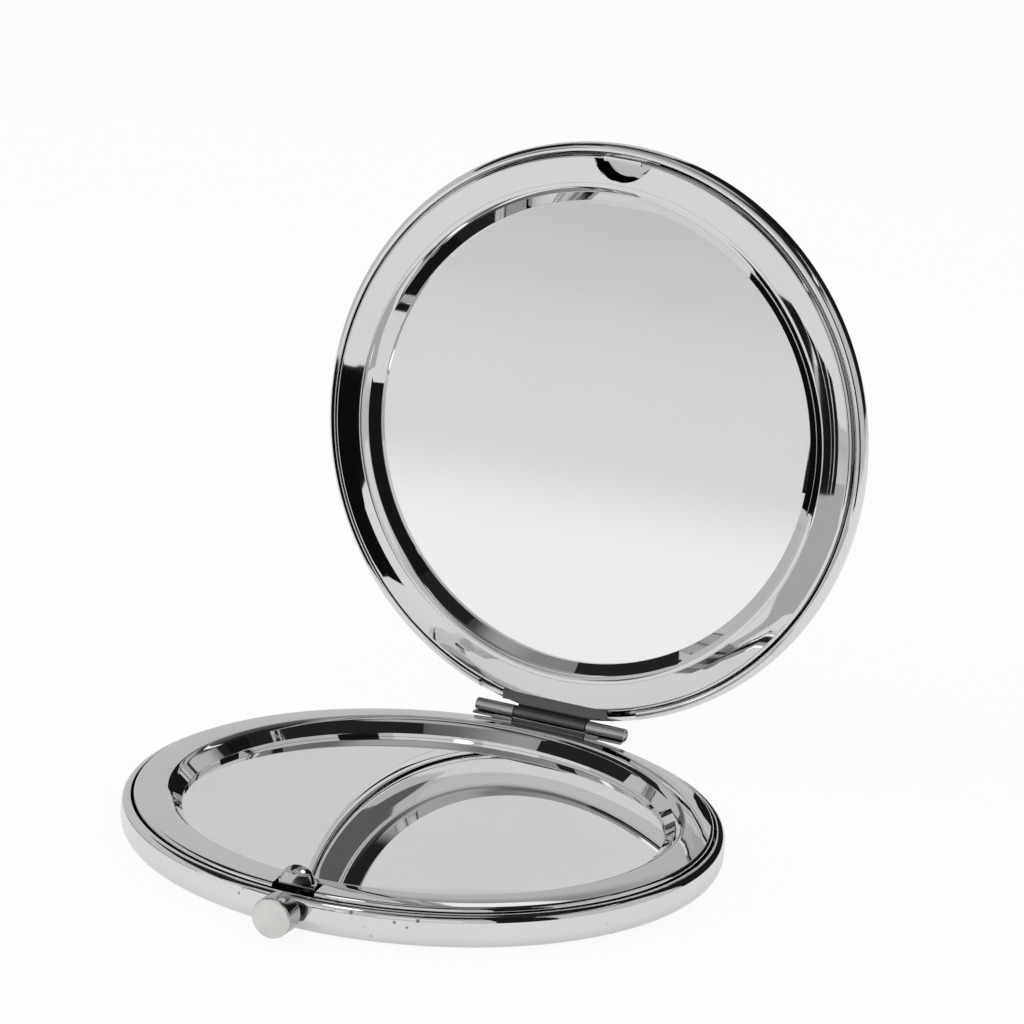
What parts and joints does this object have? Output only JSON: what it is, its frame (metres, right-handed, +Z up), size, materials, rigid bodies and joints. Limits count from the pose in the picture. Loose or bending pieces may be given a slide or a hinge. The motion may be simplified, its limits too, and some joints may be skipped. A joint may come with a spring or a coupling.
{
  "type": "compact mirror",
  "caption": "Round pocket mirror in two polished metal halves that open on a barrel hinge, with a mirror in each half and a push-button catch at the front.",
  "frame": {"origin": "middle of the flat rest face under the base", "axes": "+Z up from the rest face, +Y towards the hinge, -Y towards the push button, +X to the right seen from the button"},
  "size_m": [0.07, 0.0859, 0.0745],
  "materials": {
    "shell_chrome": "bright polished plating on the drawn shells",
    "frame_chrome": "mirror-polished plating on the pressed frames",
    "mirror_glass": "flat silvered glass",
    "foam": "white closed-cell foam",
    "hinge_chrome": "bright plating on rolled sheet",
    "button_nickel": "satin nickel plating on turned metal",
    "spring_steel": "bare steel"
  },
  "bodies": {
    "base": {"base_shell": "shell_chrome", "base_frame": "frame_chrome", "base_mirror": "mirror_glass", "base_foam_pad": "foam", "base_hinge_leaf": "hinge_chrome", "hinge_pin": "hinge_chrome", "latch_guide": "spring_steel", "latch_spring": "spring_steel"},
    "lid": {"lid_shell": "shell_chrome", "lid_frame": "frame_chrome", "lid_mirror": "mirror_glass", "lid_foam_pad": "foam", "lid_hinge_leaf": "hinge_chrome"},
    "latch": {"latch_button": "button_nickel", "latch_slider": "button_nickel"}
  },
  "joints": [
    {"name": "lid_hinge", "type": "hinge", "parent": "base", "child": "lid", "pos_m": [0, 0.0352, 0.005], "axis": [-1, 0, 0], "range_deg": [-96.5, 83.5]},
    {"name": "latch_press", "type": "slide", "parent": "base", "child": "latch", "axis": [0, 1, 0], "range_m": [0, 0.00075], "stiffness_N_per_m": 400, "springref_m": -0.0003, "deforming": ["latch_spring"]}
  ]
}
